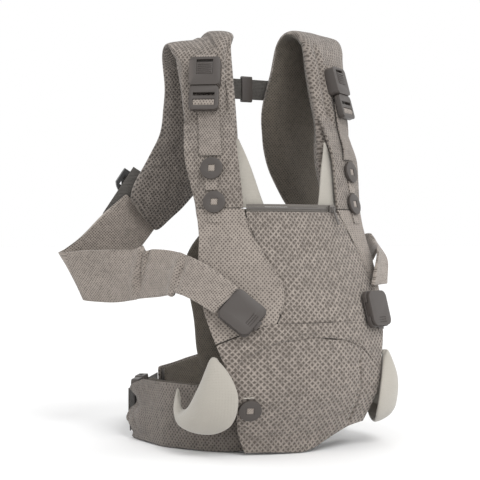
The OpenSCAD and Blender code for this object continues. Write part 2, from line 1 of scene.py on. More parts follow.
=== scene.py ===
"""Soft baby carrier: the cloth, webbing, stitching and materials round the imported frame.

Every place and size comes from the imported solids. A soft solid is welded into a quad
cage, subdivided, filled and creased. A moulded one gets its edges rounded. Metres, +Z up,
the outer panel faces -Y, and "left" is the -X side.
"""
import json
import math

import bmesh
import bpy
import numpy as np
from mathutils import Matrix, Vector, noise
from mathutils.bvhtree import BVHTree


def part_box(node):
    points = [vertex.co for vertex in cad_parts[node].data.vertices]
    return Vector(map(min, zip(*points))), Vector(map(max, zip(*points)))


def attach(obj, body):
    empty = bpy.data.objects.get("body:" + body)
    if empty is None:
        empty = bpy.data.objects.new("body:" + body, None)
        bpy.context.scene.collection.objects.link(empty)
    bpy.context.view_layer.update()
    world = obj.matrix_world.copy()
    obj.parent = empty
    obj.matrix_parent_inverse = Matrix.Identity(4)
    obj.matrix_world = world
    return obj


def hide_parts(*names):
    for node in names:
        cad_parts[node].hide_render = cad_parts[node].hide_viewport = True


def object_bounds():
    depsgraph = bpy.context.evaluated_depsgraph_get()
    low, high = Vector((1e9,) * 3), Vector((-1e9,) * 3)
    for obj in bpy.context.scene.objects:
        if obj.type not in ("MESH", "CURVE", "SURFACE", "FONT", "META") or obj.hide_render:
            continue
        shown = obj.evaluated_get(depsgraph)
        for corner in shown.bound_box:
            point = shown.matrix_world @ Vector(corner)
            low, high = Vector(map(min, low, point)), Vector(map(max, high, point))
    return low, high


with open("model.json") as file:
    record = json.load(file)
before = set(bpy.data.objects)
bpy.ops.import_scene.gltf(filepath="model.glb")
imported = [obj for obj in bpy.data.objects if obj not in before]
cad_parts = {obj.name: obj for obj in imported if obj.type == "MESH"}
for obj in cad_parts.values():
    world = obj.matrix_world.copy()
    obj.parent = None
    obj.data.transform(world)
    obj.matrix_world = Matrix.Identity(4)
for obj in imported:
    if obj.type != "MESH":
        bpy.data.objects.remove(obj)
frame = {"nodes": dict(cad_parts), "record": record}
cad_low, cad_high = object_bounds()
bodies_of = {n: b for b, members in frame["record"]["behaviour"]["bodies"].items() for n in members}
SIDES = ("left", "right")

# ---------- small helpers ----------


def ease(low, high, x):
    """0 below low, 1 above high, and smooth between, on numbers or arrays."""
    t = np.clip((x - low) / (high - low), 0, 1)
    return t * t * (3 - 2 * t)


def link(name, mesh):
    obj = bpy.data.objects.new(name, mesh)
    bpy.context.scene.collection.objects.link(obj)
    return obj


def link_bmesh(name, bm):
    """An object of that name made from a bmesh, which is freed."""
    mesh = bpy.data.meshes.new(name)
    bm.to_mesh(mesh)
    bm.free()
    return link(name, mesh)


def points_of(obj):
    co = np.zeros(len(obj.data.vertices) * 3)
    obj.data.vertices.foreach_get("co", co)
    return co.reshape(-1, 3)


def normals_of(obj):
    n = np.zeros(len(obj.data.vertices) * 3)
    obj.data.vertices.foreach_get("normal", n)
    return n.reshape(-1, 3)


def turn_of(points):
    """Angle about +Z in radians: 0 at the front, growing towards the right."""
    return np.arctan2(points[:, 0], -points[:, 1])


def outward_of(points):
    """Level direction from the wearer's middle to each point, one metre long."""
    outward = points * (1, 1, 0)
    return outward / np.linalg.norm(outward, axis=1, keepdims=True)


def set_points(obj, points):
    obj.data.vertices.foreach_set("co", np.asarray(points, float).ravel())
    obj.data.update()


def middle(node):
    low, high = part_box(node)
    return (low + high) / 2


def tree_of(obj):
    """Search tree for the nearest place on an object's faces."""
    return BVHTree.FromPolygons([v.co for v in obj.data.vertices],
                                [p.vertices for p in obj.data.polygons])


def apply_modifiers(obj):
    bpy.context.view_layer.update()
    graph = bpy.context.evaluated_depsgraph_get()
    mesh = bpy.data.meshes.new_from_object(obj.evaluated_get(graph))
    obj.modifiers.clear()
    obj.data = mesh


def smooth_line(points, steps):
    """Catmull-Rom curve through points, with steps between each two."""
    points = [Vector(p) for p in points]
    out = []
    for i in range(len(points) - 1):
        a, b = points[max(i - 1, 0)], points[i]
        c, d = points[i + 1], points[min(i + 2, len(points) - 1)]
        for k in range(steps):
            t = k / steps
            out.append(0.5 * (2 * b + (c - a) * t + (2 * a - 5 * b + 4 * c - d) * t * t
                              + (3 * b - a - 3 * c + d) * t ** 3))
    return out + [points[-1]]


# ---------- materials ----------


class Finish:
    """One procedural material; each method adds a node and gives its output socket."""

    def __init__(self, name, roughness, sheen=0.0, metallic=0.0):
        self.material = bpy.data.materials.new(name)
        self.material.use_nodes = True
        self.tree = self.material.node_tree
        self.shader = self.tree.nodes["Principled BSDF"]
        self.shader.inputs["Roughness"].default_value = roughness
        self.shader.inputs["Metallic"].default_value = metallic
        self.shader.inputs["Sheen Weight"].default_value = sheen
        self.shader.inputs["Sheen Roughness"].default_value = 0.5

    def add(self, kind, inputs=(), **settings):
        node = self.tree.nodes.new(kind)
        for key, value in settings.items():
            setattr(node, key, value)
        for key, value in dict(inputs).items():
            if isinstance(value, bpy.types.NodeSocket):
                self.tree.links.new(value, node.inputs[key])
            else:
                node.inputs[key].default_value = value
        return node

    def math(self, operation, *values):
        return self.add("ShaderNodeMath", dict(enumerate(values)), operation=operation).outputs[0]

    def surface(self):
        """Distance across and along the cloth, in metres."""
        uv = self.add("ShaderNodeUVMap", uv_map="surface")
        split = self.add("ShaderNodeSeparateXYZ", {0: uv.outputs[0]})
        return split.outputs[0], split.outputs[1]

    def noise(self, scale, detail=2.0, roughness=0.5):
        place = self.add("ShaderNodeTexCoord").outputs["Object"]
        return self.add("ShaderNodeTexNoise", {"Vector": place, "Scale": scale, "Detail": detail,
                                               "Roughness": roughness}).outputs[0]

    def remap(self, value, low, high, to_low=0.0, to_high=1.0):
        return self.add("ShaderNodeMapRange", {0: value, 1: low, 2: high, 3: to_low, 4: to_high},
                        interpolation_type="SMOOTHSTEP").outputs[0]

    def mix(self, factor, a, b):
        node = self.add("ShaderNodeMix", {0: factor}, data_type="RGBA")
        for socket, value in ((node.inputs[6], a), (node.inputs[7], b)):
            if isinstance(value, bpy.types.NodeSocket):
                self.tree.links.new(value, socket)
            else:
                socket.default_value = (*value, 1)
        return node.outputs[2]

    def bump(self, height, distance):
        return self.add("ShaderNodeBump", {"Height": height, "Distance": distance}).outputs[0]

    def finish(self, colour, normal, roughness=None):
        self.tree.links.new(colour, self.shader.inputs["Base Color"])
        self.tree.links.new(normal, self.shader.inputs["Normal"])
        if roughness is not None:
            self.tree.links.new(roughness, self.shader.inputs["Roughness"])
        return self.material


def shade_of(colour, factor):
    return tuple(c * factor for c in colour)


def spacer_mesh(name, yarn, hole, cell, opening, depth):
    """Warp-knitted spacer mesh: a diamond net of yarn over dark holes in staggered rows.

    cell is a hole's pitch across and along; a larger opening makes a larger hole.
    """
    f = Finish(name, 0.9, sheen=0.18)
    u, v = f.surface()
    u = f.math("ADD", u, f.math("MULTIPLY", f.noise(60, 2), 0.0030))
    v = f.math("ADD", v, f.math("MULTIPLY", f.noise(85, 2), 0.0026))
    a = f.math("DIVIDE", u, cell[0])
    b = f.math("DIVIDE", v, cell[1])
    rising = f.math("ABSOLUTE", f.math("SINE", f.math("MULTIPLY", f.math("ADD", a, b), math.pi)))
    falling = f.math("ABSOLUTE", f.math("SINE", f.math("MULTIPLY", f.math("SUBTRACT", a, b), math.pi)))
    net = f.math("MAXIMUM", rising, falling)
    fine_slack = f.math("SUBTRACT", f.noise(900, 1), 0.5)
    broad_slack = f.math("SUBTRACT", f.noise(170, 1), 0.5)
    loose = f.math("ADD", fine_slack, broad_slack)
    ragged = f.math("ADD", net, f.math("MULTIPLY", loose, 0.55))
    solid = f.remap(ragged, opening - 0.26, opening + 0.26)
    # Painted highlight: the yarn's colour is lightened towards the crests of the net.
    crest_highlight = f.remap(ragged, opening + 0.1, 1.1)
    fibre = f.noise(1400, 3, 0.7)
    tuft = f.remap(fibre, 0.3, 0.7)
    cloud = f.remap(f.noise(22, 3), 0.3, 0.7)
    lit = f.mix(tuft, shade_of(yarn, 0.84), shade_of(yarn, 1.1))
    lit = f.mix(crest_highlight, lit, shade_of(yarn, 1.35))
    lit = f.mix(f.math("MULTIPLY", cloud, 0.24), lit, shade_of(yarn, 0.7))
    colour = f.mix(solid, hole, lit)
    height = f.math("ADD", solid, f.math("MULTIPLY", fibre, 0.35))
    rough = f.remap(fibre, 0.2, 0.8, 0.82, 0.98)
    return f.finish(colour, f.bump(height, depth), rough)


def jersey(name, colour):
    """Smooth knitted jersey with fine wales and a soft nap."""
    f = Finish(name, 0.85, sheen=0.3)
    u, v = f.surface()
    wale = f.math("SINE", f.math("MULTIPLY", u, 2 * math.pi / 0.0012))
    course = f.math("SINE", f.math("MULTIPLY", v, 2 * math.pi / 0.0016))
    knit = f.math("MULTIPLY", f.math("ADD", wale, course), 0.25)
    fibre = f.noise(1800, 3, 0.7)
    cloud = f.remap(f.noise(14, 3), 0.3, 0.7)
    body = f.mix(cloud, shade_of(colour, 0.93), shade_of(colour, 1.05))
    body = f.mix(f.remap(fibre, 0.35, 0.65, 0, 0.5), body, shade_of(colour, 0.84))
    height = f.math("ADD", knit, fibre)
    return f.finish(body, f.bump(height, 0.00025), f.remap(fibre, 0.2, 0.8, 0.78, 0.92))


def ribbed_webbing(name, colour, rib):
    """Woven polyester webbing with ribs across its length."""
    f = Finish(name, 0.7, sheen=0.1)
    u, v = f.surface()
    across = f.math("ABSOLUTE", f.math("SINE", f.math("MULTIPLY", v, math.pi / rib)))
    ends = f.math("ABSOLUTE", f.math("SINE", f.math("MULTIPLY", u, math.pi / 0.0011)))
    weave = f.math("ADD", f.math("MULTIPLY", across, 0.7), f.math("MULTIPLY", ends, 0.3))
    fibre = f.noise(1500, 2, 0.6)
    body = f.mix(f.remap(weave, 0.1, 0.9), shade_of(colour, 0.55), shade_of(colour, 1.2))
    body = f.mix(f.remap(fibre, 0.35, 0.65, 0, 0.45), body, shade_of(colour, 0.75))
    return f.finish(body, f.bump(f.math("ADD", weave, fibre), 0.0004),
                    f.remap(fibre, 0.2, 0.8, 0.6, 0.8))


def moulded_plastic(name, colour, roughness):
    """Fine-textured moulded plastic, worn a little lighter along its edges."""
    f = Finish(name, roughness)
    grain = f.noise(1600, 2, 0.6)
    scuff = f.remap(f.noise(45, 5, 0.65), 0.55, 0.75)
    edge = f.add("ShaderNodeNewGeometry").outputs["Pointiness"]
    worn = f.math("MULTIPLY", f.remap(edge, 0.52, 0.62), 0.6)
    body = f.mix(grain, shade_of(colour, 0.92), shade_of(colour, 1.08))
    body = f.mix(f.math("MULTIPLY", scuff, 0.25), body, shade_of(colour, 1.35))
    body = f.mix(worn, body, shade_of(colour, 1.9))
    return f.finish(body, f.bump(grain, 0.00006),
                    f.remap(scuff, 0, 1, roughness, roughness + 0.14))


def twisted_thread(name, colour):
    f = Finish(name, 0.65, sheen=0.2)
    fibre = f.noise(2600, 2, 0.6)
    body = f.mix(fibre, shade_of(colour, 0.8), shade_of(colour, 1.15))
    return f.finish(body, f.bump(fibre, 0.0001))


def plated_steel(name, colour):
    f = Finish(name, 0.3, metallic=1.0)
    grain = f.noise(700, 3, 0.6)
    body = f.mix(grain, shade_of(colour, 0.9), colour)
    return f.finish(body, f.bump(grain, 0.00003), f.remap(grain, 0, 1, 0.25, 0.42))


TAUPE = (0.236, 0.204, 0.178)
UMBER = (0.050, 0.041, 0.034)
CREAM = (0.405, 0.378, 0.332)
GRAPHITE = (0.056, 0.047, 0.042)

NET = shade_of(UMBER, 2.0)

coarse_mesh = spacer_mesh("coarse spacer mesh", TAUPE, NET,
                          cell=(0.0056, 0.0066), opening=0.76, depth=0.0009)
pad_mesh = spacer_mesh("pad spacer mesh", shade_of(TAUPE, 0.90), NET,
                       cell=(0.0050, 0.0060), opening=0.72, depth=0.0009)
# Painted shade: a darker copy of the pad's taupe mesh, for the inner faces of the left pad.
shaded_inner_mesh = spacer_mesh("shaded inner spacer mesh", shade_of(TAUPE, 0.64), UMBER,
                         cell=(0.0050, 0.0060), opening=0.70, depth=0.0009)
fine_mesh = spacer_mesh("fine spacer mesh", TAUPE, shade_of(UMBER, 2.0),
                        cell=(0.0042, 0.0048), opening=0.56, depth=0.0006)
web_mesh = spacer_mesh("web fabric", shade_of(TAUPE, 0.86), NET,
                       cell=(0.0038, 0.0044), opening=0.62, depth=0.0006)
strap_mesh = spacer_mesh("strap fabric", shade_of(TAUPE, 1.04), NET,
                         cell=(0.0036, 0.0036), opening=0.58, depth=0.0005)
belt_mesh = spacer_mesh("belt spacer mesh", shade_of(TAUPE, 0.66), UMBER,
                        cell=(0.0048, 0.0056), opening=0.60, depth=0.0008)
lining_mesh = spacer_mesh("dark lining mesh", (0.088, 0.074, 0.058), (0.024, 0.020, 0.016),
                          cell=(0.0036, 0.0042), opening=0.52, depth=0.0004)
patch_cloth = spacer_mesh("pale patch cloth", shade_of(TAUPE, 1.05), shade_of(UMBER, 3),
                          cell=(0.0022, 0.0026), opening=0.42, depth=0.0002)
cream_jersey = jersey("cream jersey", CREAM)
dark_webbing = ribbed_webbing("dark webbing", (0.085, 0.078, 0.070), rib=0.0018)
zip_webbing = ribbed_webbing("zip tape", (0.15, 0.135, 0.12), rib=0.0012)
buckle_plastic = moulded_plastic("buckle plastic", GRAPHITE, roughness=0.46)
dark_plastic = moulded_plastic("dark plastic", (0.012, 0.012, 0.012), roughness=0.35)
zip_plastic = moulded_plastic("zip plastic", (0.10, 0.09, 0.082), roughness=0.4)
foam_core = moulded_plastic("foam core", (0.06, 0.055, 0.05), roughness=0.9)
thread = twisted_thread("taupe thread", (0.13, 0.113, 0.098))
pale_thread = twisted_thread("pale thread", (0.42, 0.385, 0.34))
magnet_steel = plated_steel("plated steel", (0.6, 0.6, 0.6))

# ---------- surface coordinates, in metres across and along the cloth ----------

WRAP_RADIUS = 0.165
# The belt is open on the left, so its angle runs on past the back to this one
WRAP_START = math.radians(-120)
# Middle of a pad's top between its front and back, which are not parallel
SHOULDER_X = 0.072
SHOULDER_Y = middle("chest_web").y - 0.036
SHOULDER_TILT = math.radians(16)


def wrapped(points):
    """Round the wearer: across by angle about +Z, along by height."""
    angle = turn_of(points)
    angle = np.where(angle < WRAP_START, angle + 2 * math.pi, angle)
    return np.stack([WRAP_RADIUS * angle, points[:, 2]], 1)


STRAP_TURN = math.radians(32)
# The arch over the shoulder: its rise, half its depth, half a pad's thickness, and the
# smallest half depth at a pad's edge
ARCH_HEIGHT = 0.034
ARCH_DEPTH = 0.024
PAD_HALF = 0.008
LEAST_DEPTH = 0.008


def forward(points):
    """How far a point is in front of a pad's middle, in halves of the pad's depth there."""
    tilt = (np.abs(points[:, 0]) - SHOULDER_X) * math.tan(SHOULDER_TILT)
    return (SHOULDER_Y + tilt - points[:, 1]) / np.maximum(ARCH_DEPTH - tilt, LEAST_DEPTH)


def arch_angle(points, top_z):
    """0 on a pad's front, half a turn on its back, and between over the shoulder."""
    ahead = forward(points)
    theta = np.arctan2((points[:, 2] - top_z) / ARCH_HEIGHT, ahead)
    return np.where(points[:, 2] > top_z, theta, np.where(ahead > 0, 0.0, math.pi))


def arch_foot(side):
    """Height at which a pad's front and back bend into the arch."""
    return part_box(f"{side}_shoulder_pad")[1].z - PAD_HALF - ARCH_HEIGHT


def over_shoulder(side):
    """Along a pad: up its front, round the arch over the shoulder, and down its back."""
    top_z = arch_foot(side)
    bend = (ARCH_HEIGHT + ARCH_DEPTH) / 2 + PAD_HALF

    def measure(p):
        theta = arch_angle(p, top_z)
        turn = STRAP_TURN * (1 + np.cos(theta)) / 2
        across = p[:, 0] * np.cos(turn) + np.sign(p[:, 0]) * p[:, 1] * np.sin(turn)
        up = np.where(p[:, 2] > top_z, top_z, p[:, 2])
        along = np.where(theta < math.pi / 2, up + bend * theta, 2 * top_z - up + bend * theta)
        return np.stack([across, along], 1)
    return measure


def nearest_on(points, line):
    """Distance to a line through points, and how far along it the nearest place is."""
    line = np.array([tuple(p) for p in line])
    distance = np.full(len(points), 1e9)
    along = np.zeros(len(points))
    start = 0.0
    for a, b in zip(line[:-1], line[1:]):
        step = b - a
        length = np.linalg.norm(step)
        t = np.clip(((points - a) @ step) / length ** 2, 0, 1)
        away = np.linalg.norm(points - a - t[:, None] * step, axis=1)
        along = np.where(away < distance, start + t * length, along)
        distance = np.minimum(distance, away)
        start += length
    return distance, along


def along_route(route):
    """Along a strap that runs sideways: its length across, and height along."""
    def measure(p):
        return np.stack([nearest_on(p[:, :2], route)[1], p[:, 2]], 1)
    return measure


def level(points):
    return np.stack([points[:, 0], points[:, 1]], 1)


def set_surface(obj, measure):
    mesh = obj.data
    layer = mesh.uv_layers.get("surface") or mesh.uv_layers.new(name="surface")
    uv = measure(points_of(obj))
    index = np.zeros(len(mesh.loops), int)
    mesh.loops.foreach_get("vertex_index", index)
    layer.data.foreach_set("uv", uv[index].ravel())


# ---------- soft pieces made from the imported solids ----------

WELD = 1e-5
# Two triangles that bend less than this are one face of the cage
SAME_FACE = math.radians(100)
SHARP_FOLD = math.radians(50)


def cage(node, crease):
    """The solid's outline as quads; crease keeps its sharp edges when it is subdivided."""
    bm = bmesh.new()
    bm.from_mesh(frame["nodes"][node].data)
    bmesh.ops.remove_doubles(bm, verts=bm.verts, dist=WELD)
    bmesh.ops.join_triangles(bm, faces=bm.faces, angle_face_threshold=SAME_FACE,
                             angle_shape_threshold=SAME_FACE)
    sharp = bm.edges.layers.float.new("crease_edge")
    for edge in bm.edges:
        if edge.calc_face_angle(0) > SHARP_FOLD:
            edge[sharp] = crease
    return bm


def finish_cloth(obj, node, material, measure):
    obj.data.materials.clear()
    obj.data.materials.append(material)
    obj.data.shade_smooth()
    set_surface(obj, measure)
    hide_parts(node)
    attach(obj, bodies_of[node])


def subdivide(obj, levels):
    smooth = obj.modifiers.new("smooth", "SUBSURF")
    smooth.levels = smooth.render_levels = levels
    apply_modifiers(obj)


def cloth_from(node, material, measure=wrapped, levels=2, crease=0.85):
    """A smooth piece of cloth that stands for a soft solid."""
    obj = link_bmesh(node + "_cloth", cage(node, crease))
    subdivide(obj, levels)
    finish_cloth(obj, node, material, measure)
    return obj


def ripple(obj, depth, scale, seed, where=None):
    """Moves the cloth in and out by a slow noise, as unstuffed fabric lies."""
    points = points_of(obj)
    shift = np.array([noise.noise(Vector(p) * scale + Vector((seed, 0, 0))) for p in points])
    weight = 1.0 if where is None else where(points)
    set_points(obj, points + normals_of(obj) * (shift * weight * depth)[:, None])


def groove(obj, line, depth, width):
    """Presses a sewn channel into the cloth along a line."""
    points = points_of(obj)
    press = depth * np.exp(-((nearest_on(points, line)[0] / width) ** 2))
    set_points(obj, points - normals_of(obj) * press[:, None])


def channel(obj, side, offset, depth, width, heights):
    """Presses a channel along a pad's front, offset from its buckle towards the neck."""
    points = points_of(obj)
    buckle = middle(f"{side}_shoulder_housing")
    sign = 1 if side == "right" else -1
    across = ((points[:, 0] - buckle.x) * math.cos(STRAP_TURN)
              + sign * (points[:, 1] - buckle.y) * math.sin(STRAP_TURN))
    press = depth * np.exp(-(((across + sign * offset) / width) ** 2))
    press *= ease(heights[0], heights[0] + 0.03, points[:, 2]) * (forward(points) > 0)
    press *= 1 - ease(heights[1] - 0.02, heights[1], points[:, 2])
    set_points(obj, points - normals_of(obj) * press[:, None])


PRESSURE = 4.0
SIM_FRAMES = 20


def fill(pieces, cap):
    """Swells closed pads by cloth simulation; no point moves further than cap."""
    for obj in pieces:
        cloth = obj.modifiers.new("fill", "CLOTH")
        cloth.settings.quality = 4
        cloth.settings.mass = 0.25
        cloth.settings.tension_stiffness = 12
        cloth.settings.compression_stiffness = 12
        cloth.settings.shear_stiffness = 6
        cloth.settings.bending_stiffness = 2
        cloth.settings.use_pressure = True
        cloth.settings.uniform_pressure_force = PRESSURE
        cloth.settings.effector_weights.gravity = 0
        cloth.point_cache.frame_start = 1
        cloth.point_cache.frame_end = SIM_FRAMES
    scene = bpy.context.scene
    for f in range(1, SIM_FRAMES + 1):
        scene.frame_set(f)
    graph = bpy.context.evaluated_depsgraph_get()
    for obj in pieces:
        before = points_of(obj)
        mesh = obj.evaluated_get(graph).data
        after = np.zeros(len(mesh.vertices) * 3)
        mesh.vertices.foreach_get("co", after)
        move = after.reshape(-1, 3) - before
        length = np.linalg.norm(move, axis=1, keepdims=True)
        move *= np.minimum(1, cap / np.maximum(length, 1e-9))
        obj.modifiers.clear()
        set_points(obj, before + move)
    scene.frame_set(1)


# ---------- the outer panel, its linings and the belt ----------

seat_panel = cloth_from("seat_panel", coarse_mesh, levels=3)
seat_band = cloth_from("seat_band", coarse_mesh, levels=3)
centre_panel = cloth_from("centre_panel", coarse_mesh, levels=3)
left_wing = cloth_from("left_panel_wing", fine_mesh, levels=3)
right_wing = cloth_from("right_panel_wing", fine_mesh, levels=3)
panel_lining = cloth_from("panel_lining", lining_mesh, levels=2)
seat_floor = cloth_from("seat_base", lining_mesh, level, levels=2)
apron = cloth_from("apron", lining_mesh, levels=2)
belt_cover = cloth_from("belt_cover", belt_mesh, levels=3)
belt_foam = cloth_from("belt_foam", foam_core, levels=1)
belt_lining = cloth_from("belt_lining", lining_mesh, levels=2)
outer_panel = (seat_panel, seat_band, centre_panel, left_wing, right_wing)

ZIP_Z = middle("zip_teeth").z


def below_zip(points):
    return 1 - ease(ZIP_Z - 0.030, ZIP_Z - 0.006, points[:, 2])


# The panel's pieces share one noise, so that their seams stay together
for piece in outer_panel:
    ripple(piece, depth=0.0022, scale=20, seed=0, where=below_zip)
for piece, seed in ((apron, 11), (panel_lining, 13)):
    ripple(piece, depth=0.0012, scale=18, seed=seed, where=below_zip)

BELT_END = -92
CRUMPLED = 30


def crumple_end(obj):
    """Draws in the corners of the belt's free left end, where its foam runs out."""
    points = points_of(obj)
    angle = np.degrees(turn_of(points))
    radius = np.hypot(points[:, 0], points[:, 1])
    height = points[:, 2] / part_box("belt_cover")[1].z
    # Each height is drawn in by this many degrees
    cut = 11 * np.abs(height + 0.35) ** 1.5 + 3 * np.sin(9 * height)
    share = 1 - ease(BELT_END, BELT_END + CRUMPLED, angle)
    turned = np.radians(angle + np.clip(cut, 0, 16) * share)
    reach = radius - 0.004 * share * np.sin(7 * height + 1)
    moved = np.stack([reach * np.sin(turned), -reach * np.cos(turned), points[:, 2]], 1)
    near = (angle > BELT_END - 1) & (angle < BELT_END + CRUMPLED)
    set_points(obj, np.where(near[:, None], moved, points))


def free_end(points):
    angle = np.degrees(turn_of(points))
    return (angle > BELT_END - 1) * (1 - ease(BELT_END, BELT_END + CRUMPLED, angle))


ripple(belt_cover, depth=0.0022, scale=28, seed=17)
for piece in (belt_cover, belt_foam, belt_lining):
    crumple_end(piece)
    ripple(piece, depth=0.003, scale=60, seed=19, where=free_end)

# ---------- leg cuffs and neck wings ----------

cuffs = [cloth_from(f"{side}_leg_cuff", cream_jersey, levels=2, crease=0) for side in SIDES]
neck_wings = [cloth_from(f"{side}_neck_wing", cream_jersey, levels=3) for side in SIDES]
for piece in neck_wings:
    ripple(piece, depth=0.0015, scale=30, seed=23)

# ---------- straps ----------

pads = [cloth_from(f"{side}_shoulder_pad", pad_mesh, over_shoulder(side), levels=2, crease=0)
        for side in SIDES]
head_straps = [cloth_from(f"{side}_head_strap", pad_mesh, levels=3) for side in SIDES]
strap_webs = [cloth_from(f"{side}_strap_web", web_mesh, levels=3) for side in SIDES]

# The middles of the underarm straps, from the pad's end to the side buckle
LEFT_ROUTE = [(-0.080, 0.017), (-0.165, 0.024), (-0.195, 0.026), (-0.210, 0.014), (-0.179, -0.026),
              (-0.142, -0.091), (-0.127, -0.137), (-0.097, -0.177), (-0.070, -0.213)]
RIGHT_ROUTE = [(0.130, 0.045), (0.139, -0.014), (0.139, -0.050), (0.134, -0.090), (0.129, -0.119),
               (0.122, -0.141), (0.098, -0.167)]
left_underarm = cloth_from("left_underarm_strap", strap_mesh, along_route(LEFT_ROUTE), levels=3)
right_underarm = cloth_from("right_underarm_strap", strap_mesh, along_route(RIGHT_ROUTE), levels=3)

fill(pads + cuffs, cap=0.004)
for piece in pads + cuffs:
    subdivide(piece, 1)
    piece.data.shade_smooth()


def sink_top(obj, node, depth, reach):
    """Moves the last stretch below a piece's top hem towards the wearer."""
    points = points_of(obj)
    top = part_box(node)[1].z
    share = ease(top - reach, top, points[:, 2])
    set_points(obj, points - outward_of(points) * (depth * share)[:, None])


# A head strap ends in the face of the pad behind it; the lining clears the zip's slider
for piece, side in zip(head_straps, SIDES):
    sink_top(piece, f"{side}_head_strap", depth=0.0045, reach=0.022)
sink_top(panel_lining, "panel_lining", depth=0.0025, reach=0.012)


def two_lobes(pad, node):
    """Folds a pad's top into a high front lobe and a lower back one, with a crease between."""
    points = points_of(pad)
    low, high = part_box(node)
    crease = (low.x + high.x) / 2 + 0.012
    top = ease(high.z - 0.055, high.z - 0.008, points[:, 2])
    drop = 0.009 * (1 - ease(crease - 0.012, crease + 0.004, points[:, 0]))
    pinch = 0.006 * np.exp(-(((points[:, 0] - crease) / 0.004) ** 2))
    set_points(pad, points - np.outer(top * (drop + pinch), (0, 0, 1)))


two_lobes(pads[0], "left_shoulder_pad")
for pad, side in zip(pads, SIDES):
    channel(pad, side, offset=0.0245, depth=0.0060, width=0.0045, heights=(0.315, 0.440))
    ripple(pad, depth=0.0022, scale=26, seed=31)

# Each pleat is a line pressed in from its top to its low end, with a fold raised behind it
FOLD_STEP = Vector((-0.004, 0.007, 0))
for top, low, depth in (((-0.148, -0.078, 0.190), (-0.160, -0.062, 0.128), 0.0065),
                        ((-0.128, -0.132, 0.180), (-0.133, -0.126, 0.134), 0.0045)):
    groove(left_underarm, [top, low], depth, width=0.0035)
    groove(left_underarm, [Vector(top) + FOLD_STEP, Vector(low) + FOLD_STEP], -depth * 0.7, width=0.0050)
ripple(left_underarm, depth=0.003, scale=16, seed=37)
ripple(right_underarm, depth=0.002, scale=24, seed=41)


def line_inside(pad, side, material):
    """A second material on the faces of a pad that lie towards the wearer: a lining, or a darker copy of
    the pad's mesh as painted shade.
    """
    top_z = arch_foot(side)
    pad.data.materials.append(material)
    centres = np.array([tuple(face.center) for face in pad.data.polygons])
    normals = np.array([tuple(face.normal) for face in pad.data.polygons])
    theta = arch_angle(centres, top_z)
    outward = np.stack([np.zeros(len(theta)), -np.cos(theta), np.sin(theta)], 1)
    inner = (normals * outward).sum(1) < -0.25
    pad.data.polygons.foreach_set("material_index", inner.astype(int))


# The left pad's inner faces get the darker copy of its mesh as painted shade; the right pad's get the
# dark lining.
line_inside(pads[0], "left", shaded_inner_mesh)
line_inside(pads[1], "right", lining_mesh)

# ---------- seams and stitches ----------

STITCH = 0.0027
STITCH_PITCH = 0.0040
THREAD_RADIUS = 0.00032


def outer_edge(obj, by_angle, values, pick):
    """The furthest point of a piece's outer face at each angle (degrees) or height (metres)."""
    points = points_of(obj)
    outer = (normals_of(obj) * outward_of(points)).sum(1) > 0.35
    angle = np.degrees(turn_of(points))
    place, window = (angle, 0.8) if by_angle else (points[:, 2], 0.002)
    reach = points[:, 2] if by_angle else angle
    line = []
    for value in values:
        near = np.flatnonzero(outer & (np.abs(place - value) < window))
        if len(near):
            line.append(Vector(points[near[pick(reach[near])]]))
    return smooth_line(line, 8)


def evenly(line, pitch):
    """Points along a line at an even pitch."""
    line = np.array([tuple(p) for p in line])
    steps = np.concatenate([[0], np.cumsum(np.linalg.norm(np.diff(line, axis=0), axis=1))])
    at = np.arange(0, steps[-1], pitch)
    return [Vector(np.interp(d, steps, line[:, k]) for k in range(3)) for d in at]


def sewn_on(obj, material, body):
    """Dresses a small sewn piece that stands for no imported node."""
    obj.data.materials.append(material)
    obj.data.shade_smooth()
    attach(obj, body)


def add_stitch(bm, place, along, length, radius):
    """One thread float, as a six-sided spindle."""
    turn = along.to_track_quat("Z", "Y").to_matrix().to_4x4()
    turn.translation = place
    stretch = Matrix.Diagonal((radius, radius, length / 2, 1))
    bmesh.ops.create_uvsphere(bm, u_segments=6, v_segments=4, radius=1, matrix=turn @ stretch)


def stitch(name, rows, material, length=STITCH, radius=THREAD_RADIUS):
    """Rows of stitches; each row is a cloth piece, a line on it and how far it is set in."""
    bm = bmesh.new()
    for obj, line, inset in rows:
        tree = tree_of(obj)
        places = evenly(line, STITCH_PITCH)
        for a, b in zip(places[:-1], places[1:]):
            along = (b - a).normalized()
            normal = tree.find_nearest(a)[1]
            found = tree.find_nearest(a + normal.cross(along) * inset)
            add_stitch(bm, found[0] + found[1] * radius * 0.5, along, length, radius)
    sewn_on(link_bmesh(name, bm), material, "root")


arch = outer_edge(seat_band, True, range(-24, 25, 2), np.argmin)
lower_seam = outer_edge(centre_panel, True, range(-9, 32, 2), np.argmin)
left_seam = outer_edge(left_wing, False, np.arange(0.115, 0.228, 0.006), np.argmax)
right_seam = outer_edge(right_wing, False, np.arange(0.112, 0.226, 0.006), np.argmin)
strap_sides = [(head_straps[0], np.argmin, 0.004), (head_straps[1], np.argmax, -0.004)]
heights = np.arange(0.240, 0.325, 0.006)

# The seat panel's right-hand seam runs down at this angle, in degrees
SIDE_SEAM = 17.5
side_seam = outer_edge(seat_panel, False, np.arange(-0.006, 0.066, 0.006),
                       lambda angles: np.argmin(np.abs(angles - SIDE_SEAM)))
groove(seat_panel, side_seam, depth=0.0022, width=0.0022)

rows = [(seat_band, arch, 0.0022), (seat_band, arch, 0.0048), (seat_panel, side_seam, 0.0030),
        (seat_band, lower_seam, -0.0030),
        (left_wing, left_seam, 0.0025), (right_wing, right_seam, -0.0025)]
for obj, pick, inset in strap_sides:
    rows.append((obj, outer_edge(obj, False, heights, pick), inset))
stitch("panel_stitches", rows, thread)

# ---------- moulded parts ----------


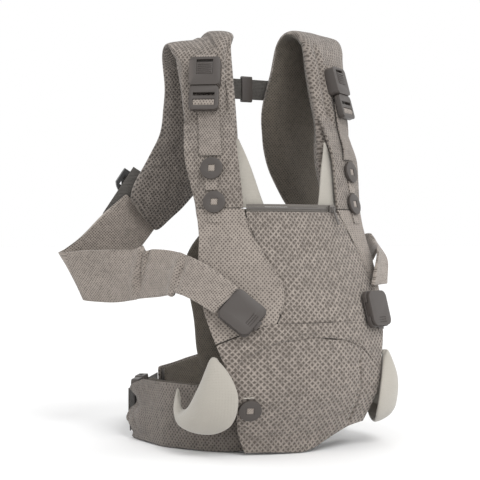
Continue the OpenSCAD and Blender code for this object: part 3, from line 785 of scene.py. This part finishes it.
def moulded(node, material, edge=0.0007):
    """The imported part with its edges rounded."""
    bm = bmesh.new()
    bm.from_mesh(frame["nodes"][node].data)
    bmesh.ops.remove_doubles(bm, verts=bm.verts, dist=WELD)
    bmesh.ops.dissolve_limit(bm, angle_limit=math.radians(1), verts=bm.verts, edges=bm.edges)
    obj = link_bmesh(node + "_shell", bm)
    bevel = obj.modifiers.new("edge", "BEVEL")
    bevel.width = edge
    bevel.segments = 3
    bevel.limit_method = "ANGLE"
    bevel.angle_limit = math.radians(40)
    apply_modifiers(obj)
    obj.data.materials.clear()
    obj.data.materials.append(material)
    obj.data.shade_smooth()
    obj.data.set_sharp_from_angle(angle=SHARP_FOLD)
    set_surface(obj, wrapped)
    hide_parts(node)
    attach(obj, bodies_of[node])


for side in SIDES:
    for part in ("shoulder_housing", "shoulder_frame", "shoulder_release", "side_base",
                 "side_cover", "side_release"):
        moulded(f"{side}_{part}", buckle_plastic)
    moulded(f"{side}_adjuster", dark_plastic, edge=0.001)
for node in ("waist_buckle_socket", "waist_buckle_plug", "chest_glide"):
    moulded(node, buckle_plastic)
SNAPS = ("left_upper_snap", "left_lower_snap", "right_upper_snap", "right_lower_snap", "belt_snap")
for node in SNAPS:
    moulded(node, buckle_plastic, edge=0.0006)
for node in ("zip_slider", "zip_pull"):
    moulded(node, zip_plastic, edge=0.0002)
moulded("buckle_magnets", magnet_steel, edge=0.0002)
moulded("snap_studs", buckle_plastic, edge=0.0002)
for node in ("waist_web_left", "waist_web_right", "waist_web_tail", "waist_tail_keeper",
             "chest_web", "adjuster_webs"):
    moulded(node, dark_webbing, edge=0.0004)
moulded("zip_tape", zip_webbing, edge=0.0001)
moulded("zip_teeth", zip_plastic, edge=0.0001)

# ---------- cloth patches, tabs and loops round the hardware ----------


def facing(node):
    """Middle, and across, up and outward directions of a flat part."""
    points = points_of(frame["nodes"][node])
    centre = middle(node)
    outward = Vector(np.linalg.svd(points - points.mean(0), full_matrices=False)[2][2])
    if outward.dot(Vector((centre.x, centre.y, 0))) < 0:
        outward.negate()
    up = (Vector((0, 0, 1)) - outward * outward.z).normalized()
    return centre, up.cross(outward), up, outward


def pillow(name, centre, axes, material, body, size, thickness):
    """A small square stuffed patch: a rounded slab, higher in its middle."""
    across, up, outward = axes
    bm = bmesh.new()
    bmesh.ops.create_grid(bm, x_segments=8, y_segments=8, size=0.5)
    for v in bm.verts:
        crown = (1 - (2 * v.co.x) ** 4) * (1 - (2 * v.co.y) ** 4)
        v.co = (centre + across * (v.co.x * size) + up * (v.co.y * size)
                + outward * thickness * (0.4 + 0.6 * crown))
    skin = bmesh.ops.extrude_face_region(bm, geom=bm.faces[:])
    for v in skin["geom"]:
        if isinstance(v, bmesh.types.BMVert):
            v.co -= outward * thickness * 0.9
    bmesh.ops.recalc_face_normals(bm, faces=bm.faces)
    obj = link_bmesh(name, bm)
    sewn_on(obj, material, body)
    set_surface(obj, wrapped)


for node in SNAPS:
    centre, across, up, outward = facing(node)
    pillow(node + "_patch", centre + outward * 0.0002, (across, up, outward), patch_cloth,
           bodies_of[node], size=0.0078, thickness=0.0011)


def ribbon(name, line, across, material, width, thickness, body="root"):
    """A flat strip of webbing or cloth along a line; with no across, it faces outwards."""
    bm = bmesh.new()
    rings = []
    for i, p in enumerate(line):
        ahead = line[min(i + 1, len(line) - 1)] - line[max(i - 1, 0)]
        level_across = across or ahead.cross(Vector((p.x, p.y, 0))).normalized()
        lift = level_across.cross(ahead).normalized() * thickness / 2
        side = level_across * width / 2
        rings.append([bm.verts.new(p + a * side + b * lift)
                      for a, b in ((-1, -1), (-0.94, -1), (0.94, -1), (1, -1),
                                   (1, 1), (0.94, 1), (-0.94, 1), (-1, 1))])
    for a, b in zip(rings[:-1], rings[1:]):
        for k in range(8):
            bm.faces.new((a[k], a[(k + 1) % 8], b[(k + 1) % 8], b[k]))
    bm.faces.new(rings[0])
    bm.faces.new(rings[-1])
    bmesh.ops.recalc_face_normals(bm, faces=bm.faces)
    obj = link_bmesh(name, bm)
    sewn_on(obj, material, body)
    obj.data.set_sharp_from_angle(angle=SHARP_FOLD)
    set_surface(obj, wrapped)
    return obj


# The hem that joins two pieces lies under the seam between them, this far below its face
HEM_DEPTH = 0.0012
for name, line in (("arch", arch), ("lower_seam", lower_seam), ("left_seam", left_seam),
                   ("right_seam", right_seam)):
    sunk = [p - Vector((p.x, p.y, 0)).normalized() * HEM_DEPTH for p in line]
    ribbon(name + "_hem", sunk, None, coarse_mesh, width=0.0065, thickness=0.0010)

TAB_WIDTH = 0.0135
TAB_THICKNESS = 0.0012


def snap_tab(node, cloth, length):
    """The tab of finer cloth that runs down from under a snap."""
    centre, across, up, outward = facing(node)
    tree = tree_of(cloth)
    line = []
    for k in range(9):
        found = tree.find_nearest(centre - up * (0.010 + length * k / 8))
        line.append(found[0] + found[1] * TAB_THICKNESS * 0.6)
    tab = ribbon(node + "_tab", line, across, fine_mesh, TAB_WIDTH, TAB_THICKNESS)
    row = [line[-1] + across * x + up * 0.0015 for x in (-TAB_WIDTH * 0.42, TAB_WIDTH * 0.42)]
    stitch(node + "_tab_stitches", [(tab, row, 0.0)], thread)


for side, strap in zip(SIDES, head_straps):
    snap_tab(f"{side}_upper_snap", strap, 0.0145)
snap_tab("left_lower_snap", left_wing, 0.0130)
snap_tab("right_lower_snap", right_wing, 0.0130)

centre, across, up, outward = facing("belt_snap")
bartack = [centre + up * 0.0145 + across * x for x in (-0.006, 0.0, 0.008)]
stitch("belt_bartack", [(seat_panel, bartack, 0.0)], pale_thread, length=0.0050, radius=0.0009)


def buckle_loops(side):
    """The webbing that shows in a shoulder buckle's window, and the loop over its top."""
    frame_node, housing = f"{side}_shoulder_frame", f"{side}_shoulder_housing"
    top_centre, across, up, outward = facing(housing)
    low_centre = middle(frame_node)
    down = (low_centre - top_centre).normalized()
    window = low_centre + down * 0.0085
    bars = [window + down * y + outward * (0.0022 * math.cos(y / 0.0045 * 1.4) - 0.001)
            for y in np.linspace(-0.0042, 0.0042, 7)]
    ribbon(f"{side}_ladder_web", bars, across, fine_mesh, width=0.0240, thickness=0.0014,
           body=bodies_of[frame_node])
    loop = [top_centre - down * (0.0155 + 0.0085 * t) + outward * (0.003 * (1 - t ** 2) - 0.0035)
            for t in np.linspace(0, 1, 6)]
    ribbon(f"{side}_buckle_loop", loop, across, fine_mesh, width=0.0235, thickness=0.0018)


for side in SIDES:
    buckle_loops(side)
    centre, across, up, outward = facing(f"{side}_adjuster")
    threaded = [centre + up * y for y in (-0.011, 0.0, 0.011)]
    ribbon(f"{side}_adjuster_loop", threaded, across, dark_webbing, width=0.0245,
           thickness=0.0016, body=bodies_of[f"{side}_adjuster"])

# ---------- camera, lights and floor ----------

EYE_TURN = math.radians(-25)
EYE_HEIGHT = 0.195
EYE_DISTANCE = 1.4
EYE_LENS = 84
EYE_SHIFT = 0.0042


def make_camera():
    data = bpy.data.cameras.new("camera")
    data.lens = EYE_LENS
    data.shift_x = EYE_SHIFT
    data.shift_y = EYE_SHIFT
    camera = link("camera", data)
    camera.location = (math.sin(EYE_TURN) * EYE_DISTANCE, -math.cos(EYE_TURN) * EYE_DISTANCE,
                       EYE_HEIGHT)
    camera.rotation_euler = (math.pi / 2, 0, EYE_TURN)
    bpy.context.scene.camera = camera


# The lamps point at the middle of the object
LIT_PLACE = Vector((0, 0, 0.2))


def aimed_light(name, kind, place, strength, size):
    data = bpy.data.lights.new(name, kind)
    data.energy = strength
    if kind == "SUN":
        data.angle = size
    else:
        data.shape = "DISK"
        data.size = size
    light = link(name, data)
    light.location = place
    light.rotation_euler = (LIT_PLACE - Vector(place)).to_track_quat("-Z", "Y").to_euler()


FLOOR_REACH = 40
FLOOR_GAP = 0.001


def make_stage():
    mesh = bpy.data.meshes.new("floor")
    reach, z = FLOOR_REACH, cad_low.z - FLOOR_GAP
    mesh.from_pydata([(-reach, -reach, z), (reach, -reach, z), (reach, reach, z), (-reach, reach, z)],
                     [], [(0, 1, 2, 3)])
    floor = link("floor", mesh)
    f = Finish("pale floor", 0.95)
    body = f.mix(f.remap(f.noise(3, 2), 0.3, 0.7), (0.88, 0.88, 0.88), (0.92, 0.92, 0.92))
    floor.data.materials.append(f.finish(body, f.bump(f.noise(200, 2), 0.0001)))
    world = bpy.data.worlds.new("studio")
    world.use_nodes = True
    back = world.node_tree.nodes["Background"]
    back.inputs["Color"].default_value = (1, 1, 1, 1)
    back.inputs["Strength"].default_value = 1.0
    bpy.context.scene.world = world
    bpy.context.scene.view_settings.view_transform = "Standard"


make_camera()
make_stage()
aimed_light("key", "SUN", (0.1, -2.1, 2.4), strength=1.3, size=math.radians(25))
aimed_light("fill", "AREA", (1.5, -1.6, 0.8), strength=5, size=1.5)
